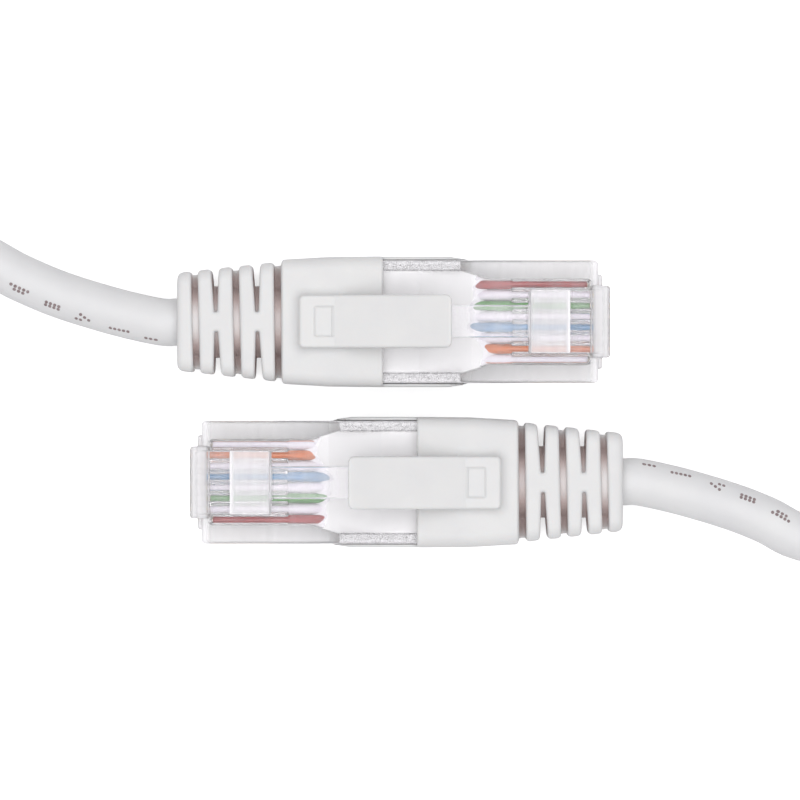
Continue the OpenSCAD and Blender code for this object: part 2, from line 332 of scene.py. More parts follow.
# Half the boot's width, its underside, its top and the top of its cheeks, at places along x
BOOT_HALF = [
    (BOOT_BACK, 4.65), (SHOULDER - 0.1, 5.71), (SHOULDER + 0.1, 5.88), (-25.5, 6.13), (-21, 6.17),
    (CHEEK_FRONT, 6.17), (CHEEK_TIP, 5.86)]
BOOT_LOW = [(BOOT_BACK, 0.35), (SHOULDER - 0.1, 0.05), (SHOULDER + 0.1, 0)]
BOOT_TOP = [(BOOT_BACK, 7.65), (SHOULDER - 0.1, 8.1), (SHOULDER + 0.1, 8.3)]
CHEEK_TOP = [(-19.2, 6.6), (CHEEK_FRONT, 6.3), (CHEEK_TIP, 5.4)]
BOOT_CORNER = 1.3
BOOT_ROOF_FRONT = -20.4
BOOT_LEAN = 0.024             # how far the rings lean, as the strain relief starts to follow the cable
BORE_R = 2.27

GAPS = 5
GAP_PITCH = 1.95
FIRST_GAP = -38.15
GAP_HALF = 0.31
NOTCH_HALF = [(0.9, 0.15), (6.2, 0.42)]      # half a side notch's width, at distances from the middle
SLEEVE_R, SLEEVE_UP = 3.4, 3.15              # half-width and half-height
BRIDGE_HALF = 0.93
RING_HALF = [(BOOT_BACK, 4.65), (SHOULDER, 5.72)]
BAR_INSET = 0.35              # how far the side bars between the rings are inside their edge

PAD_BACK, PAD_FRONT, PAD_TOP = -28.3, -24.8, 9.6
PAD_NOSE_R = 0.58
PAD_LOW = 7.9
PAD_FILLET = [(PAD_BACK, 1.3), (PAD_BACK + 1.5, 0.8)]
PAD_RECESS_X = (-26.85, -25.05)
PAD_RECESS_HALF, PAD_RECESS_LOW = 1.4, 9.35
TONGUE_HALF = 2.5
TONGUE_T = 1.2
TONGUE_Z = PAD_TOP - TONGUE_T / 2
TONGUE_L = 11.3
TONGUE_SLOPE = math.radians(17.5)


def boot_outside(x, y, z):
    """The boot's body and strain relief as one smooth block, before its gaps are cut."""
    body = round_rect(y, z, along(x, BOOT_HALF), along(x, BOOT_LOW), along(x, BOOT_TOP), BOOT_CORNER)
    body = smooth_max(body, BOOT_BACK - x, 0.7)
    body = smooth_max(body, x - CHEEK_TIP, 0.3)
    cheek = z - along(x, CHEEK_TOP)
    return smooth_max(body, smooth_min(x - BOOT_ROOF_FRONT, cheek, 0.5), 0.3)


def gap_field(i, along_x, x, side, z, sleeve):
    """One gap of the strain relief: the even ones are open above and below, the odd ones are side notches."""
    away = np.abs(along_x - FIRST_GAP - i * GAP_PITCH)
    if i % 2 == 0:
        away = away - GAP_HALF
        bridge = smooth_max(side - along(x, RING_HALF) + BAR_INSET, np.abs(z - CABLE_Z) - BRIDGE_HALF, 0.3)
    else:
        away = away - along(side, NOTCH_HALF)
        bridge = side - BRIDGE_HALF
    return smooth_max(away, -smooth_min(sleeve, bridge, 0.3), 0.15)


def pad_field(x, side, z):
    """The raised pad that the tongue grows from."""
    pad = round_rect(side, x, TONGUE_HALF, PAD_BACK, PAD_FRONT + PAD_NOSE_R, 0.5)
    nose = np.sqrt((x - PAD_FRONT) ** 2 + (z - TONGUE_Z) ** 2) - PAD_NOSE_R
    front = smooth_max(np.where(x > PAD_FRONT, nose, -1.0), side - TONGUE_HALF, 0.1)
    pad = smooth_max(smooth_max(pad, z - PAD_TOP + 0.01, 0.35), front, 0.1)
    return np.maximum(pad, PAD_LOW - z)


def boot_field(x, y, z):
    lean = np.clip((SHOULDER + 0.5 - x) / 2, 0, 1) * BOOT_LEAN * y
    side = np.abs(y)
    shape = boot_outside(x, side, z)
    sleeve = (np.sqrt((side / SLEEVE_R) ** 2 + ((z - CABLE_Z) / SLEEVE_UP) ** 2) - 1) * SLEEVE_UP
    for i in range(GAPS):
        shape = smooth_max(shape, -gap_field(i, x + lean, x, side, z, sleeve), 0.42)
    shape = smooth_min(shape, pad_field(x, side, z), along(x, PAD_FILLET))
    recess = centred_box(x, side, z, PAD_RECESS_X, PAD_RECESS_HALF, (PAD_RECESS_LOW, 11), 0.2)
    shape = smooth_max(shape, -recess, 0.22)
    pocket = centred_box(
        x, side, z, (PLUG_BACK - 0.03, 5), PLUG_HALF + 0.03, (PLUG_LOW - 0.03, PLUG_TOP - 0.01), 0.35)
    shape = smooth_max(shape, -pocket, 0.08)
    bore = smooth_max(from_cable(side, z) - BORE_R, x + 21, 0.1)
    return smooth_max(shape, -bore, 0.25)


def boot_shape():
    gap_sides = [FIRST_GAP + i * GAP_PITCH + side * GAP_HALF for i in range(GAPS) for side in (-1, 1)]
    sides = [0.9, 1.4, 2.5, 3.6, 4.6, 5.4, 5.9]
    axes = [
        spaced(-40, -11.9, 0.12, 0.5, [
            -39.7, *gap_sides, -29.7, PAD_BACK, -26.8, -25.1, -24.6, PLUG_BACK, BOOT_ROOF_FRONT, -19.2,
            CHEEK_FRONT, CHEEK_TIP], 0.35),
        spaced(-6.2, 6.2, 0.11, 0.4, [way * side for side in sides for way in (-1, 1)], 0.2),
        spaced(0, 9.6, 0.11, 0.4, [0.1, 0.9, 3.1, 4.9, 6.6, PLUG_TOP, PAD_LOW, 8.3, 9.4], 0.3),
    ]
    points, faces, normals = surface_net(boot_field, axes)
    # how deep each point lies below the boot's outer surface, which sets the painted shade in its gaps
    depth = -boot_outside(*points.T)
    return points, faces, normals, {"depth": np.clip(depth, 0, 3)}


# ---------------------------------------------------------------- tongue of the boot

def tongue_field(x, y, z):
    """The tongue lying flat, its root on the origin, running to +x. Its end is upright once it is tilted."""
    plan = round_rect(y, x - z * math.tan(TONGUE_SLOPE), TONGUE_HALF, -2, TONGUE_L + 0.1, 0.6)
    slab = smooth_max(plan, np.abs(z) - TONGUE_T / 2, 0.35)
    slab = np.maximum(slab, -x)
    root = smooth_max(np.sqrt(x * x + z * z) - TONGUE_T / 2, np.abs(y) - TONGUE_HALF, 0.3)
    return smooth_min(slab, root, 0.02)


def tilted(points, slope, at_x, at_z):
    """Points of a flat piece that runs to +x, turned up by slope about its root and put at (at_x, at_z)."""
    x, y, z = points.T
    return np.column_stack([
        at_x + x * math.cos(slope) - z * math.sin(slope), y,
        at_z + x * math.sin(slope) + z * math.cos(slope)])


def tongue_shape():
    axes = [
        spaced(-0.6, TONGUE_L + 0.5, 0.09, 0.5, [-0.4, 0, 0.4, TONGUE_L - 0.3, TONGUE_L + 0.2], 0.4),
        spaced(-2.5, 2.5, 0.09, 0.4, [-2.3, 2.3], 0.35),
        spaced(-0.6, 0.6, 0.09, 0.2, [-0.4, 0.4], 0.3),
    ]
    points, faces, normals = surface_net(tongue_field, axes)
    points = tilted(points, TONGUE_SLOPE, PAD_FRONT, TONGUE_Z)
    normals = tilted(normals, TONGUE_SLOPE, 0, 0)
    return points, faces, normals, {"depth": np.zeros(len(points))}


# ---------------------------------------------------------------- clear plug

NOSE_L, NOSE_HALF = 0.35, 4.45
ROOT_X, ROOT_R = 0.2, 0.85    # the latch bends about a line here, at the plug's top
ROOT_HALF, ROOT_LOW = 3.4, 6.1
LATCH_SLOPE = math.radians(9.5)
LATCH_LOW = 0.05              # how far the underside of the latch passes above that line
LATCH_HALF = 3.0
SHOULDER_U, RAMP_U, TAIL_U = 7.0, 3.25, 15.7   # distances from the root, along the latch
LATCH_T = [(0, 0.8), (RAMP_U, 1.4)]            # thickness of its wide part
TAIL_HALF, TAIL_T = 1.55, 0.85
SLOT_HALF, SLOT_BACK, SLOT_UP = 0.25, -7.3, 1.9
RECESS_UP = 0.45
BAR_X, WIRE_BAR_X = -18.9, -9.2   # where the jacket and the wires are pressed, from below


def latch_frame(x, z):
    """u runs back along the latch from its root, v up from its underside."""
    dx, dz = ROOT_X - x, z - PLUG_TOP
    u = dx * math.cos(LATCH_SLOPE) + dz * math.sin(LATCH_SLOPE)
    v = dz * math.cos(LATCH_SLOPE) - dx * math.sin(LATCH_SLOPE) - LATCH_LOW
    return u, v


def latch_field(x, y, z):
    u, v = latch_frame(x, z)
    wide = round_rect(y, u, LATCH_HALF, -0.4, SHOULDER_U, 0.15)
    wide = smooth_max(wide, smooth_max(v - along(u, LATCH_T), -v, 0.15), 0.15)
    tail = round_rect(y, u, TAIL_HALF, SHOULDER_U - 1, TAIL_U, 0.3)
    tail = smooth_max(tail, smooth_max(v - TAIL_T, -v, 0.15), 0.15)
    root = centred_box(
        x, y, z, (ROOT_X - ROOT_R - 0.15, ROOT_X + ROOT_R), ROOT_HALF, (ROOT_LOW, PLUG_TOP + 0.82), 0.3)
    return smooth_min(smooth_min(wide, tail, 0.25), root, 0.2)


def hollow_field(x, y, z, more=0.0):
    """The plug's hollow behind the channels, made larger all round by more."""
    half = along(x, [(HOLLOW_FRONT, HOLLOW_HALF), (THROAT_X, ROW_HALF)]) + more
    low = along(x, [(ROOF_FRONT, HOLLOW_LOW), (ROOF_END, CHANNEL_Z - CHANNEL_R)]) - more
    high = along(x, [(ROOF_FRONT, HOLLOW_TOP), (ROOF_END, CHANNEL_Z + CHANNEL_R)]) + more
    section = round_rect(y, z, half, low, high, 0.2)
    return smooth_max(section, x - CHANNEL_BACK - more, 0.2)


def channels_field(x, y, z):
    """The eight round channels that hold the wires."""
    radius = along(x, [(CHANNEL_TAPER, CHANNEL_R), (CHANNEL_FRONT, 0.25)])
    channel = np.sqrt(from_wire(y) ** 2 + (z - CHANNEL_Z) ** 2) - radius
    channel = smooth_max(channel, x - CHANNEL_FRONT, 0.3)
    return np.maximum(channel, CHANNEL_BACK - 0.6 - x)


def plug_field(x, y, z):
    shape = centred_box(x, y, z, (PLUG_BACK, 0), PLUG_HALF, (PLUG_LOW, PLUG_TOP), 0.35)
    shape = smooth_max(shape, round_rect(y, x, PLUG_HALF, PLUG_BACK, 0, 0.5), 0.1)
    nose = centred_box(x, y, z, (-1, NOSE_L), NOSE_HALF, (PLUG_LOW + 0.7, PLUG_TOP - 0.9), 0.2)
    shape = smooth_min(shape, nose, 0.1)
    shape = smooth_min(shape, latch_field(x, y, z), 0.12)
    bar = centred_box(x, y, z, (BAR_X - 0.7, BAR_X + 0.7), 2.5, (0, PLUG_LOW + 1.4), 0.15)
    shape = smooth_max(shape, -smooth_max(hollow_field(x, y, z), -bar, 0.1), 0.12)
    shape = smooth_max(shape, -channels_field(x, y, z), 0.1)
    slots = smooth_max(z - PLUG_LOW - SLOT_UP, SLOT_BACK - x, 0.1)
    slots = smooth_max(np.abs(from_wire(y)) - SLOT_HALF, slots, 0.05)
    shape = smooth_max(shape, -slots, 0.06)
    recess_z = (0, PLUG_LOW + RECESS_UP)
    jacket_recess = centred_box(x, y, z, (BAR_X - 0.5, BAR_X + 0.5), 2.1, recess_z, 0.12)
    wire_recess = centred_box(x, y, z, (WIRE_BAR_X - 0.55, WIRE_BAR_X + 0.55), 3.7, recess_z, 0.12)
    return smooth_max(shape, -np.minimum(jacket_recess, wire_recess), 0.12)


def plug_haze(points):
    """How hazy the plug's surface is at each point, and which points are on the latch's tail."""
    x, y, z = points.T
    side = np.abs(y)
    u, v = latch_frame(x, z)
    on_latch = (v > -0.15) & (u > 0)
    top = on_latch & (u > RAMP_U - 0.05) & (u < SHOULDER_U + 0.06)
    rim = top & ((u > SHOULDER_U - 0.08) | (u < RAMP_U + 0.12) | (side > LATCH_HALF - 0.12))
    nose = np.clip((x + 0.9) / 0.6, 0, 1) * (1 - 0.5 * np.clip((x - 0.3) / 0.2, 0, 1))
    nose = nose * np.clip((z - 3.6) / 3.4, 0, 1)
    off_wire = np.abs(from_wire(y))
    wall = (x > CHANNEL_BACK) & (x < 0) & (side < ROW_HALF)
    wall = wall & (np.abs(np.hypot(off_wire, z - CHANNEL_Z) - CHANNEL_R) < 0.08)
    wall = wall * np.clip((off_wire - 0.28) / 0.08, 0, 1)
    flank = np.clip((side - 5.5) / 0.25, 0, 1)
    throat = (np.abs(hollow_field(x, y, z)) < 0.08) & (side > 3.9) & (x > HOLLOW_FRONT - 0.2)
    tail_rim = on_latch & (u > SHOULDER_U + 0.1) & (side > TAIL_HALF - 0.13)
    return {
        "frost": top + 2.2 * rim + 2.1 * nose + 0.9 * wall + flank + throat + 0.4 * tail_rim,
        "tail": (on_latch & (u > SHOULDER_U + 0.3)).astype(float)}


def plug_shape():
    rows = [wire_y(i) + off for i in range(8) for off in (-0.45, -0.25, 0, 0.25, 0.45)]
    sides = [5.6, 4.84, NOSE_HALF, ROOT_HALF, LATCH_HALF, TAIL_HALF]
    up = spaced(0.8, 10.9, 0.1, 0.25, [0.9, 1.25, 1.6, 2.2, 2.7, 3.9, 4.9, 6.5, 7.3, 8.2, 8.6], 0.25)
    up = np.union1d(up, np.arange(7.38, 7.8, 0.05))   # the thin gap under the latch
    up = up[np.concatenate([[True], np.diff(up) > 0.015])]
    axes = [
        spaced(-21.5, 1.05, 0.135, 0.55, [
            -21.3, -19.6, -18.2, -15.2, -12.9, -9.7, -8.3, -7.3, -6.8, -3.0, -0.9, -0.2, 0.3, 0.9], 0.3),
        spaced(-5.84, 5.84, 0.1, 0.4, [*rows, *[way * side for side in sides for way in (-1, 1)]], 0.12),
        up,
    ]
    points, faces, normals = surface_net(plug_field, axes)
    return points, faces, normals, plug_haze(points)


# ---------------------------------------------------------------- tubes

def lengths(line):
    """How far along a line each of its points is."""
    return np.concatenate([[0], np.cumsum(np.linalg.norm(np.diff(line, axis=0), axis=1))])


def ring_faces(first, rings, sides):
    """The faces that join rings of points and close both ends. first is the number of the first point."""
    faces = []
    for ring in range(rings - 1):
        for k in range(sides):
            a, b = first + ring * sides + k, first + ring * sides + (k + 1) % sides
            faces.append((a, b, b + sides, a + sides))
    faces.append(tuple(first + k for k in range(sides))[::-1])
    faces.append(tuple(first + (rings - 1) * sides + k for k in range(sides)))
    return faces


def swept(line, radii, sides):
    """A closed tube along a line: points, faces, and for each point (cos, sin, distance along)."""
    ahead = np.gradient(line, axis=0)
    ahead /= np.linalg.norm(ahead, axis=1)[:, None]
    aside = np.column_stack([-ahead[:, 1], ahead[:, 0], np.zeros(len(line))])
    aside /= np.linalg.norm(aside, axis=1)[:, None]
    above = np.cross(ahead, aside)
    turn = 2 * math.pi * np.arange(sides) / sides
    cos, sin = np.cos(turn), np.sin(turn)
    out = cos[:, None] * aside[:, None] + sin[:, None] * above[:, None]
    points = line[:, None] + radii[:, None, None] * out
    around = np.column_stack([
        np.tile(cos, len(line)), np.tile(sin, len(line)), np.repeat(lengths(line), sides)])
    return points.reshape(-1, 3), ring_faces(0, len(line), sides), around


# ---------------------------------------------------------------- inside the plug

WIRE_R = 0.45
WIRE_OPEN_R = 0.49            # insulation swells again behind the channels that squeeze it
WIRE_RADII = [(1.0, WIRE_R), (8.0, WIRE_R), (9.6, WIRE_OPEN_R), (13, 0.44)]   # at distances behind the nose
WIRE_ENDS = [-1.1, -0.95, -1.2, -1.0, -1.2, -1.3, -1.25, -1.15]   # where each was cut, from pin 1 to pin 8
WIRE_STEPS = 24
WIRE_SIDES = 20
MOUTH_PITCH, MOUTH_UP = 0.48, 0.475   # the wires leave the jacket in two rows, this far above and below


def wire_line(i):
    """The middle line of a wire, from its cut end along its channel to the jacket."""
    share = np.linspace(0, 1, WIRE_STEPS + 1)
    eased = (1 - np.cos(math.pi * share)) / 2
    start = np.array([THROAT_X, wire_y(i), CHANNEL_Z])
    mouth = np.array([JACKET_FRONT, (i - 3.5) * MOUTH_PITCH, CABLE_Z + (MOUTH_UP if i % 2 else -MOUTH_UP)])
    bend = start + np.column_stack([share, eased, eased]) * (mouth - start)
    channel = np.linspace((WIRE_ENDS[i], *start[1:]), start + (0.3, 0, 0), WIRE_STEPS)
    return np.concatenate([channel, bend])


def wire_shape(i):
    line = wire_line(i)
    radii = along(-line[:, 0], WIRE_RADII)
    # a small chamfer where the wire is cut off
    line = np.concatenate([[line[0] + (0.12, 0, 0)], line])
    radii = np.concatenate([[WIRE_R * 0.72], radii])
    points, faces, around = swept(line, radii, WIRE_SIDES)
    return points, faces, None, {"around": around}


MOULD_GRIP = 0.03             # it holds on to the plug's inner walls
MOULD_FRONTS = [-10.9, -10.5, -11.5, -12.1, -12.0, -11.8, -11.6, -11.5]   # at each wire, from pin 1 to pin 8
SKIN_TOP, SKIN_FRONT = 4.2, -8.6      # a low skin of it runs further forward under the wires
CREEP_LOW, CREEP_HIGH = (-20.6, 4.9, 1.1), (-13.05, 5.68, 7.12)
MOULD_BORE_R, MOULD_BORE_FRONT = 2.2, -17.3


def mould_front(y, z):
    """Where the filling ends. It reaches further low down, so each wire comes out at a rounded point."""
    front = along(y, [(wire_y(i), MOULD_FRONTS[i]) for i in range(8)])
    front = front + 1.7 * np.clip(4.95 - z, 0, 0.6)
    return front + 0.12 * np.sin(3.3 * y + 1.3 * z) + 0.05 * np.sin(9 * y + 4 * z)


def creep_field(x, y, z):
    """Where the filling has crept into the plug's side walls. Its surface is rough there."""
    rough = 0.05 * np.sin(17 * x + 3 * np.sin(7.3 * z + 5 * y))
    rough = rough * np.sin(19 * y + 2.2 * np.sin(9.7 * x) + 1.1 * z)
    rough = rough + 0.04 * np.sin(31 * x + 2 * np.sin(13 * y)) * np.sin(9 * z + 3)
    return round_box(x, np.abs(y), z, CREEP_LOW, CREEP_HIGH, 0.15) + rough


def mould_field(x, y, z):
    hollow = hollow_field(x, y, z, MOULD_GRIP)
    body = smooth_max(hollow, x - mould_front(y, z), 0.5)
    skin = smooth_max(hollow, smooth_max(z - SKIN_TOP, x - SKIN_FRONT, 0.1), 0.1)
    body = smooth_min(body, skin, 0.15)
    body = smooth_max(body, PLUG_BACK + 0.05 - x, 0.2)
    body = smooth_min(body, creep_field(x, y, z), 0.02)
    bore = smooth_max(from_cable(y, z) - MOULD_BORE_R, x - MOULD_BORE_FRONT, 0.1)
    return smooth_max(body, -bore, 0.1)


def mould_shape():
    axes = [
        spaced(-21.5, -8.5, 0.11, 0.11, [-16], 12),
        spaced(-5.8, 5.8, 0.11, 0.14, [-5.4, 5.4], 0.6),
        spaced(1.0, 7.2, 0.14, 0.25, [1.5, 4.4, 6.8], 0.5),
    ]
    points, faces, normals = surface_net(mould_field, axes)
    x, y, z = points.T
    against_wall = np.abs(hollow_field(x, y, z, MOULD_GRIP)) < 0.03
    # where the mould gets painted light: fully against the walls, less where it has crept into the sides
    painted_light = np.where(np.abs(y) > HOLLOW_HALF + 0.04, 0.6, against_wall)
    return points, faces, normals, {"painted_light": painted_light}


BLADE_OUTLINE = [
    (-0.7, 1.85), (-0.7, 3.8), (-2.2, 3.8), (-2.6, 4.7), (-3.0, 3.8), (-4.4, 3.8), (-4.8, 4.7), (-5.2, 3.8),
    (-6.8, 3.8), (-6.8, 2.25), (-5.9, 1.35), (-1.2, 1.35)]
BLADE_RINGS = [(-0.15, 0.05), (-0.11, 0), (0.11, 0), (0.15, 0.05)]   # place across it, how far drawn in


def contacts_shape():
    """Eight blades, their long edges bevelled."""
    outline = np.array(BLADE_OUTLINE)[::-1]
    inward = outline.mean(axis=0) - outline
    inward /= np.linalg.norm(inward, axis=1)[:, None]
    points, faces = [], []
    for i in range(8):
        faces += ring_faces(len(points), len(BLADE_RINGS), len(outline))
        for y, drawn_in in BLADE_RINGS:
            points += [(x, wire_y(i) + y, z) for x, z in outline + drawn_in * inward]
    return np.array(points), faces, None, {}


# places along x, and the radius there
JACKET_RINGS = [
    (-39.0, 2.1), (-38.9, 2.24), (-30, 2.24), (-24, 2.24), (JACKET_FRONT - 0.1, 2.24), (JACKET_FRONT, 2.1)]
JACKET_SIDES = 48


def jacket_shape():
    """The end of the cable's jacket, a rod with its rims bevelled."""
    at, radii = np.array(JACKET_RINGS).T
    line = np.column_stack([at, np.zeros(len(at)), np.full(len(at), CABLE_Z)])
    points, faces, _ = swept(line, radii, JACKET_SIDES)
    return points, faces, None, {}


# ---------------------------------------------------------------- materials

class Nodes:
    """A material's node tree, built by short calls."""

    def __init__(self, name):
        self.material = bpy.data.materials.new(name)
        self.material.use_nodes = True
        self.tree = self.material.node_tree
        self.tree.nodes.clear()
        self.out = self.tree.nodes.new("ShaderNodeOutputMaterial")

    def add(self, kind, values=None, **settings):
        """A new node. values maps its inputs to values, or to the sockets that feed them."""
        node = self.tree.nodes.new("ShaderNode" + kind)
        for key, value in settings.items():
            setattr(node, key, value)
        for key, value in (values or {}).items():
            if isinstance(value, bpy.types.NodeSocket):
                self.tree.links.new(value, node.inputs[key])
            else:
                node.inputs[key].default_value = value
        return node

    def noise(self, scale, detail=3.0, vector=None):
        """Noise over the object's own coordinates; scale is in cycles for each metre."""
        vector = vector or self.add("TexCoord").outputs["Object"]
        node = self.add("TexNoise", {"Vector": vector, "Scale": scale, "Detail": detail, "Roughness": 0.55})
        return node.outputs["Fac"]

    def ramp(self, value, low, high, to_low, to_high):
        """Maps low..high to to_low..to_high, as a number."""
        node = self.add("MapRange", {
            "Value": value, "From Min": low, "From Max": high, "To Min": to_low, "To Max": to_high})
        return node.outputs["Result"]

    def uneven(self, scale, low, high, detail=3.0):
        """A number that wanders from low to high over the surface."""
        return self.ramp(self.noise(scale, detail), 0.3, 0.7, low, high)

    def mix(self, share, a, b):
        """The colour a where share is 0 and b where it is 1."""
        return self.add("Mix", {0: share, 6: a, 7: b}, data_type="RGBA").outputs[2]

    def maths(self, operation, a, b):
        return self.add("Math", {0: a, 1: b}, operation=operation).outputs[0]

    def bump(self, height, distance):
        return self.add("Bump", {"Height": height, "Distance": distance, "Strength": 1.0}).outputs["Normal"]

    def attribute(self, name, output="Fac"):
        return self.add("Attribute", attribute_name=name).outputs[output]

    def stretched(self, vector, stretch):
        """The vector with its parts multiplied by stretch."""
        return self.add("Mapping", {"Vector": vector, "Scale": stretch}).outputs[0]

    def finish(self, shader):
        self.tree.links.new(shader.outputs[0], self.out.inputs["Surface"])
        return self.material


def linear(level):
    """A 0..255 sRGB value as a linear one."""
    level = level / 255
    return level / 12.92 if level <= 0.04045 else ((level + 0.055) / 1.055) ** 2.4


def rgb(red, green, blue):
    """A colour given as 0..255 sRGB values."""
    return linear(red), linear(green), linear(blue), 1


def brighter(colour, times):
    return (*[part * times for part in colour[:3]], 1)


def boot_material():
    n = Nodes("boot_pvc")
    colour = n.mix(n.uneven(260, 0, 1, 4), rgb(213, 213, 213), rgb(217, 217, 216))
    # painted shade: the boot darkens to a warm grey deep in its gaps and notches, where shade falls
    painted_recess_shade = n.ramp(n.attribute("depth"), 0.3, 1.3, 0, 1)
    colour = n.mix(painted_recess_shade, colour, rgb(214, 199, 196))
    grain = n.maths("ADD", n.noise(9000, 2), n.maths("MULTIPLY", n.noise(2200, 2), 0.8))
    return n.finish(n.add("BsdfPrincipled", {
        "Base Color": colour, "Roughness": n.uneven(1800, 0.46, 0.56), "IOR": 1.5,
        "Subsurface Weight": 0.12, "Subsurface Radius": (1.0, 0.75, 0.6), "Subsurface Scale": 0.0012,
        "Normal": n.bump(grain, 0.000012)}))


def cable_material():
    n = Nodes("cable_jacket")
    colour = n.mix(n.uneven(300, 0, 1, 4), rgb(214, 214, 215), rgb(218, 218, 218))
    grain = n.maths("ADD", n.noise(6000, 2), n.maths("MULTIPLY", n.noise(900, 2), 1.2))
    return n.finish(n.add("BsdfPrincipled", {
        "Base Color": colour, "Roughness": n.uneven(1500, 0.36, 0.46), "IOR": 1.5,
        "Subsurface Weight": 0.1, "Subsurface Radius": (1.0, 0.85, 0.8), "Subsurface Scale": 0.001,
        "Normal": n.bump(grain, 0.00001)}))


def mark_material():
    n = Nodes("print_ink")
    colour = n.mix(n.uneven(5000, 0, 1, 2), rgb(150, 136, 136), rgb(122, 106, 106))
    return n.finish(n.add("BsdfPrincipled", {"Base Color": colour, "Roughness": n.uneven(4000, 0.5, 0.7)}))


def mould_material():
    n = Nodes("inner_mould")
    # painted light: lighter where it lies against the clear walls than on its free faces
    colour = n.mix(n.attribute("painted_light"), rgb(222, 220, 224), rgb(255, 254, 255))
    colour = n.mix(n.uneven(400, 0, 0.03, 4), colour, rgb(200, 198, 204))
    return n.finish(n.add("BsdfPrincipled", {
        "Base Color": colour, "Roughness": n.uneven(1500, 0.5, 0.62),
        # painted light: a faint glow where it lies against the clear walls, making up for the light that goes
        # round inside them
        "Emission Color": (1, 0.995, 1, 1),
        "Emission Strength": n.maths("MULTIPLY", n.attribute("painted_light"), 0.095),
        "Normal": n.bump(n.noise(3000), 0.00002)}))


def gold_material():
    n = Nodes("contact_gold")
    colour = n.mix(n.uneven(2500, 0, 1), rgb(226, 180, 96), rgb(240, 200, 120))
    return n.finish(n.add("BsdfPrincipled", {
        "Base Color": colour, "Metallic": 1.0, "Roughness": n.uneven(6000, 0.2, 0.36),
        "Normal": n.bump(n.noise(12000, 2), 0.000004)}))


WIRE_COLOURS = {
    "orange": rgb(188, 92, 20), "green": rgb(72, 136, 62),
    "blue": rgb(54, 118, 162), "brown": rgb(146, 38, 42)}
WHITE_INSULATION, WHITE_SHADE = rgb(210, 206, 212), rgb(204, 197, 208)
# how far round each white wire its stripe starts, and how far it turns in a millimetre, in radians
STRIPES = {"orange": (0.45, 0.01), "green": (-0.5, -0.09), "blue": (2.6, 0.1), "brown": (3.0, 0.05)}


def stripe(n, phase, twist):
    """1 on a narrow stripe that winds along a wire and 0 beside it."""
    around = n.add("SeparateXYZ", {0: n.attribute("around", "Vector")})
    turn = n.maths("ADD", n.maths("MULTIPLY", around.outputs[2], twist), phase)
    facing = n.maths(
        "ADD", n.maths("MULTIPLY", around.outputs[0], n.maths("COSINE", turn, 0)),
        n.maths("MULTIPLY", around.outputs[1], n.maths("SINE", turn, 0)))
    return n.ramp(facing, 0.9, 0.94, 0, 1)


def wire_material(name):
    n = Nodes(f"wire_{name}")
    hue = name.split("_")[-1]
    colour = WIRE_COLOURS[hue]
    streaks = n.noise(2.6, 4, n.stretched(n.attribute("around", "Vector"), (1.0, 1.0, 0.22)))
    shade = n.ramp(streaks, 0.35, 0.65, 0, 1)
    if name.startswith("white"):
        colour = n.mix(stripe(n, *STRIPES[hue]), n.mix(shade, WHITE_INSULATION, WHITE_SHADE), colour)
    else:
        colour = n.mix(shade, brighter(colour, 1.15), brighter(colour, 0.62))
    return n.finish(n.add("BsdfPrincipled", {
        "Base Color": colour, "Roughness": n.uneven(3000, 0.34, 0.46), "Specular IOR Level": 0.25,
        "Subsurface Weight": 0.05, "Subsurface Radius": (1.0, 0.8, 0.8), "Subsurface Scale": 0.0003,
        "Normal": n.bump(n.noise(5000, 2), 0.00001)}))


def clear_material():
    n = Nodes("clear_plug")
    glass = n.add("BsdfPrincipled", {
        "Base Color": (0.985, 0.978, 0.992, 1), "Transmission Weight": 1.0, "IOR": 1.58,
        "Roughness": n.uneven(900, 0.02, 0.05), "Normal": n.bump(n.noise(1600), 0.000012)})
    milk = n.add("BsdfPrincipled", {
        "Base Color": rgb(244, 243, 245), "Roughness": 0.5, "Normal": n.bump(n.noise(2500), 0.00001)})
    frost = n.maths("MULTIPLY", n.attribute("frost"), 0.3)
    haze = n.maths("ADD", frost, n.maths("MULTIPLY", n.attribute("tail"), 0.04))
    # faint bands across the plug, left by the flow of the plastic
    flow = n.stretched(n.add("TexCoord").outputs["Object"], (1.0, 0.16, 0.4))
    haze = n.maths("ADD", haze, n.ramp(n.noise(700, vector=flow), 0.45, 0.75, 0, 0.09))
    body = n.add("MixShader", {0: haze, 1: glass.outputs[0], 2: milk.outputs[0]})
    # light passes through to what is under it
    lit = n.add("BsdfTransparent", {"Color": (1, 1, 1, 1)})
    shadow = n.add("LightPath").outputs["Is Shadow Ray"]
    return n.finish(n.add("MixShader", {0: shadow, 1: body.outputs[0], 2: lit.outputs[0]}))


def floor_material():
    """Matt, and lifted towards white where the camera sees it."""
    n = Nodes("floor")
    diffuse = n.add("BsdfDiffuse", {"Color": (0.775, 0.775, 0.775, 1)})
    seen = n.add("LightPath").outputs["Is Camera Ray"]
    glow = n.add("Emission", {"Color": (1, 1, 1, 1), "Strength": n.maths("MULTIPLY", seen, 0.6)})
    return n.finish(n.add("AddShader", {0: diffuse.outputs[0], 1: glow.outputs[0]}))


materials = {
    "cable": cable_material(), "boot": boot_material(), "mark": mark_material(), "mould": mould_material(),
    "gold": gold_material(), "clear": clear_material(), **{w: wire_material(w) for w in WIRES}}

# ---------------------------------------------------------------- cable

CABLE_INTO_BOOT = np.array([0.9, 0, 0])


